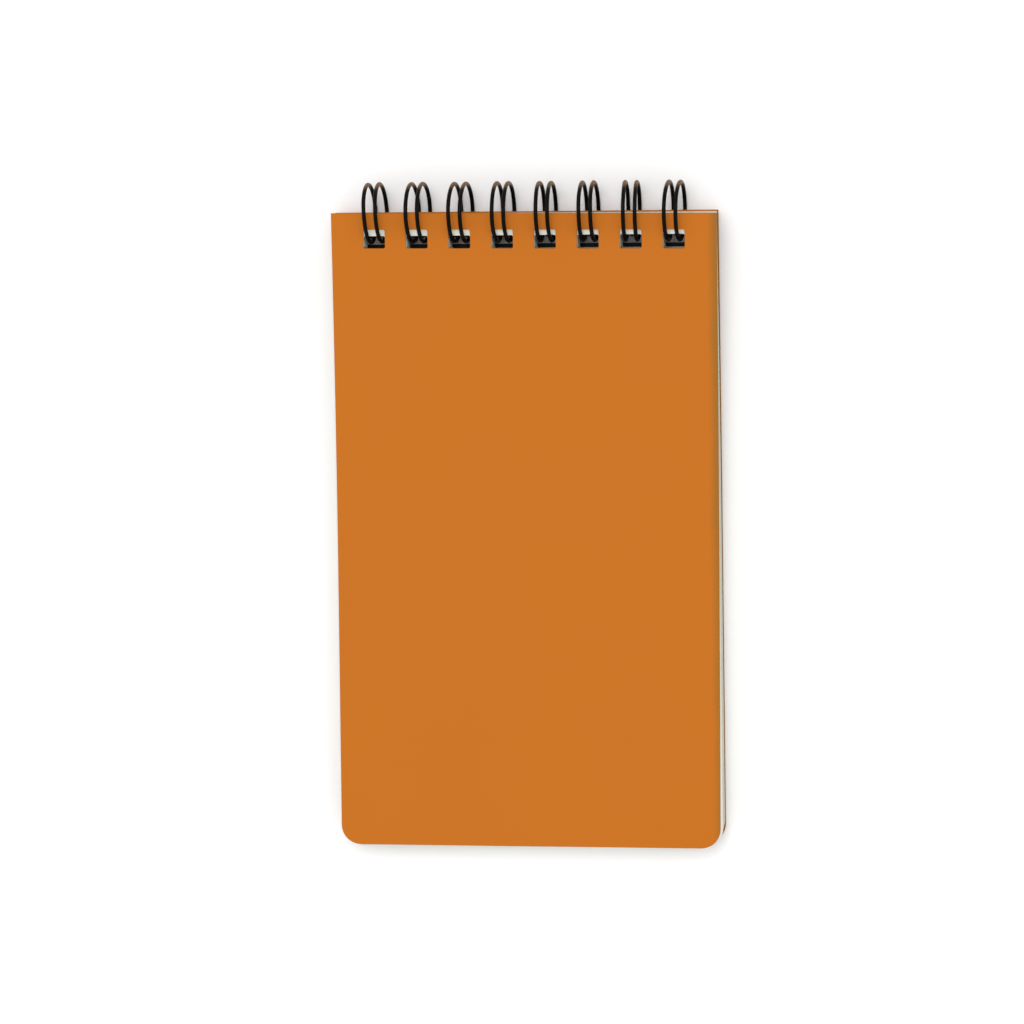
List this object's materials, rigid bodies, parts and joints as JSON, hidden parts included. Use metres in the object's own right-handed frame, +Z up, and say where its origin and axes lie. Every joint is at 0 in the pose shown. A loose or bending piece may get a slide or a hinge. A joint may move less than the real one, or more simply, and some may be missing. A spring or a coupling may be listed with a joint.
{
  "type": "pocket notebook",
  "caption": "Top-bound pocket notebook: flat plastic covers and loose ruled sheets that turn over on a black twin-loop wire, with a tunnel in the wire for a hook or cord.",
  "frame": {"origin": "On the table under the middle of the closed notebook, which lies on its back cover", "axes": "+Z up out of the front cover, +Y towards the bound edge, +X to a reader's right"},
  "size_m": [0.0771, 0.1334, 0.0124],
  "materials": {
    "cover_plastic": "satin opaque polypropylene with a very fine stipple",
    "wire_coating": "black nylon coating on steel wire, semi-gloss",
    "page_paper": "uncoated off-white writing paper"
  },
  "bodies": {
    "wire": {"twin_loop_wire": "wire_coating"},
    "front_cover": {"front_cover": "cover_plastic"},
    "back_cover": {"back_cover": "cover_plastic"},
    "sheet_01": {"sheet_01": "page_paper"},
    "sheet_02": {"sheet_02": "page_paper"},
    "sheet_03": {"sheet_03": "page_paper"},
    "sheet_04": {"sheet_04": "page_paper"},
    "sheet_05": {"sheet_05": "page_paper"},
    "sheet_06": {"sheet_06": "page_paper"},
    "sheet_07": {"sheet_07": "page_paper"},
    "sheet_08": {"sheet_08": "page_paper"},
    "sheet_09": {"sheet_09": "page_paper"},
    "sheet_10": {"sheet_10": "page_paper"},
    "sheet_11": {"sheet_11": "page_paper"},
    "sheet_12": {"sheet_12": "page_paper"},
    "sheet_13": {"sheet_13": "page_paper"},
    "sheet_14": {"sheet_14": "page_paper"},
    "sheet_15": {"sheet_15": "page_paper"},
    "sheet_16": {"sheet_16": "page_paper"},
    "sheet_17": {"sheet_17": "page_paper"},
    "sheet_18": {"sheet_18": "page_paper"},
    "sheet_19": {"sheet_19": "page_paper"},
    "sheet_20": {"sheet_20": "page_paper"},
    "sheet_21": {"sheet_21": "page_paper"},
    "sheet_22": {"sheet_22": "page_paper"},
    "sheet_23": {"sheet_23": "page_paper"},
    "sheet_24": {"sheet_24": "page_paper"},
    "sheet_25": {"sheet_25": "page_paper"},
    "sheet_26": {"sheet_26": "page_paper"},
    "sheet_27": {"sheet_27": "page_paper"},
    "sheet_28": {"sheet_28": "page_paper"},
    "sheet_29": {"sheet_29": "page_paper"},
    "sheet_30": {"sheet_30": "page_paper"},
    "sheet_31": {"sheet_31": "page_paper"},
    "sheet_32": {"sheet_32": "page_paper"},
    "sheet_33": {"sheet_33": "page_paper"},
    "sheet_34": {"sheet_34": "page_paper"},
    "sheet_35": {"sheet_35": "page_paper"},
    "sheet_36": {"sheet_36": "page_paper"},
    "sheet_37": {"sheet_37": "page_paper"},
    "sheet_38": {"sheet_38": "page_paper"},
    "sheet_39": {"sheet_39": "page_paper"},
    "sheet_40": {"sheet_40": "page_paper"},
    "sheet_41": {"sheet_41": "page_paper"},
    "sheet_42": {"sheet_42": "page_paper"},
    "sheet_43": {"sheet_43": "page_paper"},
    "sheet_44": {"sheet_44": "page_paper"},
    "sheet_45": {"sheet_45": "page_paper"},
    "sheet_46": {"sheet_46": "page_paper"},
    "sheet_47": {"sheet_47": "page_paper"},
    "sheet_48": {"sheet_48": "page_paper"},
    "sheet_49": {"sheet_49": "page_paper"},
    "sheet_50": {"sheet_50": "page_paper"}
  },
  "joints": [
    {"name": "front_cover_turn", "type": "hinge", "parent": "wire", "child": "front_cover", "pos_m": [0, 0.06045, 0.0061], "axis": [-1, 0, 0], "range_deg": [0, 180]},
    {"name": "back_cover_turn", "type": "hinge", "parent": "wire", "child": "back_cover", "pos_m": [0, 0.06045, 0.0061], "axis": [1, 0, 0], "range_deg": [0, 12]},
    {"name": "sheet_01_turn", "type": "hinge", "parent": "wire", "child": "sheet_01", "pos_m": [0, 0.06045, 0.0061], "axis": [-1, 0, 0], "range_deg": [0, 178.42]},
    {"name": "sheet_02_turn", "type": "hinge", "parent": "wire", "child": "sheet_02", "pos_m": [0, 0.06045, 0.0061], "axis": [-1, 0, 0], "range_deg": [0, 178.08]},
    {"name": "sheet_03_turn", "type": "hinge", "parent": "wire", "child": "sheet_03", "pos_m": [0, 0.06045, 0.0061], "axis": [-1, 0, 0], "range_deg": [0, 177.68]},
    {"name": "sheet_04_turn", "type": "hinge", "parent": "wire", "child": "sheet_04", "pos_m": [0, 0.06045, 0.0061], "axis": [-1, 0, 0], "range_deg": [0, 177.18]},
    {"name": "sheet_05_turn", "type": "hinge", "parent": "wire", "child": "sheet_05", "pos_m": [0, 0.06045, 0.0061], "axis": [-1, 0, 0], "range_deg": [0, 176.6]},
    {"name": "sheet_06_turn", "type": "hinge", "parent": "wire", "child": "sheet_06", "pos_m": [0, 0.06045, 0.0061], "axis": [-1, 0, 0], "range_deg": [0, 175.88]},
    {"name": "sheet_07_turn", "type": "hinge", "parent": "wire", "child": "sheet_07", "pos_m": [0, 0.06045, 0.0061], "axis": [-1, 0, 0], "range_deg": [0, 175.04]},
    {"name": "sheet_08_turn", "type": "hinge", "parent": "wire", "child": "sheet_08", "pos_m": [0, 0.06045, 0.0061], "axis": [-1, 0, 0], "range_deg": [0, 174.01]},
    {"name": "sheet_09_turn", "type": "hinge", "parent": "wire", "child": "sheet_09", "pos_m": [0, 0.06045, 0.0061], "axis": [-1, 0, 0], "range_deg": [0, 172.79]},
    {"name": "sheet_10_turn", "type": "hinge", "parent": "wire", "child": "sheet_10", "pos_m": [0, 0.06045, 0.0061], "axis": [-1, 0, 0], "range_deg": [0, 171.33]},
    {"name": "sheet_11_turn", "type": "hinge", "parent": "wire", "child": "sheet_11", "pos_m": [0, 0.06045, 0.0061], "axis": [-1, 0, 0], "range_deg": [0, 169.58]},
    {"name": "sheet_12_turn", "type": "hinge", "parent": "wire", "child": "sheet_12", "pos_m": [0, 0.06045, 0.0061], "axis": [-1, 0, 0], "range_deg": [0, 167.53]},
    {"name": "sheet_13_turn", "type": "hinge", "parent": "wire", "child": "sheet_13", "pos_m": [0, 0.06045, 0.0061], "axis": [-1, 0, 0], "range_deg": [0, 165.1]},
    {"name": "sheet_14_turn", "type": "hinge", "parent": "wire", "child": "sheet_14", "pos_m": [0, 0.06045, 0.0061], "axis": [-1, 0, 0], "range_deg": [0, 162.26]},
    {"name": "sheet_15_turn", "type": "hinge", "parent": "wire", "child": "sheet_15", "pos_m": [0, 0.06045, 0.0061], "axis": [-1, 0, 0], "range_deg": [0, 158.93]},
    {"name": "sheet_16_turn", "type": "hinge", "parent": "wire", "child": "sheet_16", "pos_m": [0, 0.06045, 0.0061], "axis": [-1, 0, 0], "range_deg": [0, 155.08]},
    {"name": "sheet_17_turn", "type": "hinge", "parent": "wire", "child": "sheet_17", "pos_m": [0, 0.06045, 0.0061], "axis": [-1, 0, 0], "range_deg": [0, 150.65]},
    {"name": "sheet_18_turn", "type": "hinge", "parent": "wire", "child": "sheet_18", "pos_m": [0, 0.06045, 0.0061], "axis": [-1, 0, 0], "range_deg": [0, 145.61]},
    {"name": "sheet_19_turn", "type": "hinge", "parent": "wire", "child": "sheet_19", "pos_m": [0, 0.06045, 0.0061], "axis": [-1, 0, 0], "range_deg": [0, 139.94]},
    {"name": "sheet_20_turn", "type": "hinge", "parent": "wire", "child": "sheet_20", "pos_m": [0, 0.06045, 0.0061], "axis": [-1, 0, 0], "range_deg": [0, 133.62]},
    {"name": "sheet_21_turn", "type": "hinge", "parent": "wire", "child": "sheet_21", "pos_m": [0, 0.06045, 0.0061], "axis": [-1, 0, 0], "range_deg": [0, 126.71]},
    {"name": "sheet_22_turn", "type": "hinge", "parent": "wire", "child": "sheet_22", "pos_m": [0, 0.06045, 0.0061], "axis": [-1, 0, 0], "range_deg": [0, 119.22]},
    {"name": "sheet_23_turn", "type": "hinge", "parent": "wire", "child": "sheet_23", "pos_m": [0, 0.06045, 0.0061], "axis": [-1, 0, 0], "range_deg": [0, 111.25]},
    {"name": "sheet_24_turn", "type": "hinge", "parent": "wire", "child": "sheet_24", "pos_m": [0, 0.06045, 0.0061], "axis": [-1, 0, 0], "range_deg": [0, 102.91]},
    {"name": "sheet_25_turn", "type": "hinge", "parent": "wire", "child": "sheet_25", "pos_m": [0, 0.06045, 0.0061], "axis": [-1, 0, 0], "range_deg": [0, 94.34]},
    {"name": "sheet_26_turn", "type": "hinge", "parent": "wire", "child": "sheet_26", "pos_m": [0, 0.06045, 0.0061], "axis": [-1, 0, 0], "range_deg": [0, 85.7]},
    {"name": "sheet_27_turn", "type": "hinge", "parent": "wire", "child": "sheet_27", "pos_m": [0, 0.06045, 0.0061], "axis": [-1, 0, 0], "range_deg": [0, 77.14]},
    {"name": "sheet_28_turn", "type": "hinge", "parent": "wire", "child": "sheet_28", "pos_m": [0, 0.06045, 0.0061], "axis": [-1, 0, 0], "range_deg": [0, 68.8]},
    {"name": "sheet_29_turn", "type": "hinge", "parent": "wire", "child": "sheet_29", "pos_m": [0, 0.06045, 0.0061], "axis": [-1, 0, 0], "range_deg": [0, 60.83]},
    {"name": "sheet_30_turn", "type": "hinge", "parent": "wire", "child": "sheet_30", "pos_m": [0, 0.06045, 0.0061], "axis": [-1, 0, 0], "range_deg": [0, 53.34]},
    {"name": "sheet_31_turn", "type": "hinge", "parent": "wire", "child": "sheet_31", "pos_m": [0, 0.06045, 0.0061], "axis": [-1, 0, 0], "range_deg": [0, 46.43]},
    {"name": "sheet_32_turn", "type": "hinge", "parent": "wire", "child": "sheet_32", "pos_m": [0, 0.06045, 0.0061], "axis": [-1, 0, 0], "range_deg": [0, 40.11]},
    {"name": "sheet_33_turn", "type": "hinge", "parent": "wire", "child": "sheet_33", "pos_m": [0, 0.06045, 0.0061], "axis": [-1, 0, 0], "range_deg": [0, 34.44]},
    {"name": "sheet_34_turn", "type": "hinge", "parent": "wire", "child": "sheet_34", "pos_m": [0, 0.06045, 0.0061], "axis": [-1, 0, 0], "range_deg": [0, 29.4]},
    {"name": "sheet_35_turn", "type": "hinge", "parent": "wire", "child": "sheet_35", "pos_m": [0, 0.06045, 0.0061], "axis": [-1, 0, 0], "range_deg": [0, 24.97]},
    {"name": "sheet_36_turn", "type": "hinge", "parent": "wire", "child": "sheet_36", "pos_m": [0, 0.06045, 0.0061], "axis": [-1, 0, 0], "range_deg": [0, 21.12]},
    {"name": "sheet_37_turn", "type": "hinge", "parent": "wire", "child": "sheet_37", "pos_m": [0, 0.06045, 0.0061], "axis": [-1, 0, 0], "range_deg": [0, 17.79]},
    {"name": "sheet_38_turn", "type": "hinge", "parent": "wire", "child": "sheet_38", "pos_m": [0, 0.06045, 0.0061], "axis": [-1, 0, 0], "range_deg": [0, 14.95]},
    {"name": "sheet_39_turn", "type": "hinge", "parent": "wire", "child": "sheet_39", "pos_m": [0, 0.06045, 0.0061], "axis": [-1, 0, 0], "range_deg": [0, 12.52]},
    {"name": "sheet_40_turn", "type": "hinge", "parent": "wire", "child": "sheet_40", "pos_m": [0, 0.06045, 0.0061], "axis": [-1, 0, 0], "range_deg": [0, 10.46]},
    {"name": "sheet_41_turn", "type": "hinge", "parent": "wire", "child": "sheet_41", "pos_m": [0, 0.06045, 0.0061], "axis": [-1, 0, 0], "range_deg": [0, 8.72]},
    {"name": "sheet_42_turn", "type": "hinge", "parent": "wire", "child": "sheet_42", "pos_m": [0, 0.06045, 0.0061], "axis": [-1, 0, 0], "range_deg": [0, 7.26]},
    {"name": "sheet_43_turn", "type": "hinge", "parent": "wire", "child": "sheet_43", "pos_m": [0, 0.06045, 0.0061], "axis": [-1, 0, 0], "range_deg": [0, 6.04]},
    {"name": "sheet_44_turn", "type": "hinge", "parent": "wire", "child": "sheet_44", "pos_m": [0, 0.06045, 0.0061], "axis": [-1, 0, 0], "range_deg": [0, 5.01]},
    {"name": "sheet_45_turn", "type": "hinge", "parent": "wire", "child": "sheet_45", "pos_m": [0, 0.06045, 0.0061], "axis": [-1, 0, 0], "range_deg": [0, 4.16]},
    {"name": "sheet_46_turn", "type": "hinge", "parent": "wire", "child": "sheet_46", "pos_m": [0, 0.06045, 0.0061], "axis": [-1, 0, 0], "range_deg": [0, 3.44]},
    {"name": "sheet_47_turn", "type": "hinge", "parent": "wire", "child": "sheet_47", "pos_m": [0, 0.06045, 0.0061], "axis": [-1, 0, 0], "range_deg": [0, 2.87]},
    {"name": "sheet_48_turn", "type": "hinge", "parent": "wire", "child": "sheet_48", "pos_m": [0, 0.06045, 0.0061], "axis": [-1, 0, 0], "range_deg": [0, 2.36]},
    {"name": "sheet_49_turn", "type": "hinge", "parent": "wire", "child": "sheet_49", "pos_m": [0, 0.06045, 0.0061], "axis": [-1, 0, 0], "range_deg": [0, 1.97]},
    {"name": "sheet_50_turn", "type": "hinge", "parent": "wire", "child": "sheet_50", "pos_m": [0, 0.06045, 0.0061], "axis": [-1, 0, 0], "range_deg": [0, 1.63]}
  ],
  "couplings": [
    {"joint": "sheet_01_turn", "follows": "front_cover_turn", "ratio": 0.9911},
    {"joint": "sheet_02_turn", "follows": "front_cover_turn", "ratio": 0.9892},
    {"joint": "sheet_03_turn", "follows": "front_cover_turn", "ratio": 0.987},
    {"joint": "sheet_04_turn", "follows": "front_cover_turn", "ratio": 0.9842},
    {"joint": "sheet_05_turn", "follows": "front_cover_turn", "ratio": 0.981},
    {"joint": "sheet_06_turn", "follows": "front_cover_turn", "ratio": 0.977},
    {"joint": "sheet_07_turn", "follows": "front_cover_turn", "ratio": 0.9723},
    {"joint": "sheet_08_turn", "follows": "front_cover_turn", "ratio": 0.9666},
    {"joint": "sheet_09_turn", "follows": "front_cover_turn", "ratio": 0.9598},
    {"joint": "sheet_10_turn", "follows": "front_cover_turn", "ratio": 0.9517},
    {"joint": "sheet_11_turn", "follows": "front_cover_turn", "ratio": 0.942},
    {"joint": "sheet_12_turn", "follows": "front_cover_turn", "ratio": 0.9306},
    {"joint": "sheet_13_turn", "follows": "front_cover_turn", "ratio": 0.9171},
    {"joint": "sheet_14_turn", "follows": "front_cover_turn", "ratio": 0.9013},
    {"joint": "sheet_15_turn", "follows": "front_cover_turn", "ratio": 0.8828},
    {"joint": "sheet_16_turn", "follows": "front_cover_turn", "ratio": 0.8614},
    {"joint": "sheet_17_turn", "follows": "front_cover_turn", "ratio": 0.8368},
    {"joint": "sheet_18_turn", "follows": "front_cover_turn", "ratio": 0.8088},
    {"joint": "sheet_19_turn", "follows": "front_cover_turn", "ratio": 0.7773},
    {"joint": "sheet_20_turn", "follows": "front_cover_turn", "ratio": 0.7422},
    {"joint": "sheet_21_turn", "follows": "front_cover_turn", "ratio": 0.7038},
    {"joint": "sheet_22_turn", "follows": "front_cover_turn", "ratio": 0.6622},
    {"joint": "sheet_23_turn", "follows": "front_cover_turn", "ratio": 0.6179},
    {"joint": "sheet_24_turn", "follows": "front_cover_turn", "ratio": 0.5716},
    {"joint": "sheet_25_turn", "follows": "front_cover_turn", "ratio": 0.524},
    {"joint": "sheet_26_turn", "follows": "front_cover_turn", "ratio": 0.476},
    {"joint": "sheet_27_turn", "follows": "front_cover_turn", "ratio": 0.4284},
    {"joint": "sheet_28_turn", "follows": "front_cover_turn", "ratio": 0.3821},
    {"joint": "sheet_29_turn", "follows": "front_cover_turn", "ratio": 0.3378},
    {"joint": "sheet_30_turn", "follows": "front_cover_turn", "ratio": 0.2962},
    {"joint": "sheet_31_turn", "follows": "front_cover_turn", "ratio": 0.2578},
    {"joint": "sheet_32_turn", "follows": "front_cover_turn", "ratio": 0.2227},
    {"joint": "sheet_33_turn", "follows": "front_cover_turn", "ratio": 0.1912},
    {"joint": "sheet_34_turn", "follows": "front_cover_turn", "ratio": 0.1632},
    {"joint": "sheet_35_turn", "follows": "front_cover_turn", "ratio": 0.1386},
    {"joint": "sheet_36_turn", "follows": "front_cover_turn", "ratio": 0.1172},
    {"joint": "sheet_37_turn", "follows": "front_cover_turn", "ratio": 0.0987},
    {"joint": "sheet_38_turn", "follows": "front_cover_turn", "ratio": 0.0829},
    {"joint": "sheet_39_turn", "follows": "front_cover_turn", "ratio": 0.0694},
    {"joint": "sheet_40_turn", "follows": "front_cover_turn", "ratio": 0.058},
    {"joint": "sheet_41_turn", "follows": "front_cover_turn", "ratio": 0.0483},
    {"joint": "sheet_42_turn", "follows": "front_cover_turn", "ratio": 0.0402},
    {"joint": "sheet_43_turn", "follows": "front_cover_turn", "ratio": 0.0334},
    {"joint": "sheet_44_turn", "follows": "front_cover_turn", "ratio": 0.0277},
    {"joint": "sheet_45_turn", "follows": "front_cover_turn", "ratio": 0.023},
    {"joint": "sheet_46_turn", "follows": "front_cover_turn", "ratio": 0.019},
    {"joint": "sheet_47_turn", "follows": "front_cover_turn", "ratio": 0.0158},
    {"joint": "sheet_48_turn", "follows": "front_cover_turn", "ratio": 0.013},
    {"joint": "sheet_49_turn", "follows": "front_cover_turn", "ratio": 0.0108},
    {"joint": "sheet_50_turn", "follows": "front_cover_turn", "ratio": 0.0089}
  ]
}
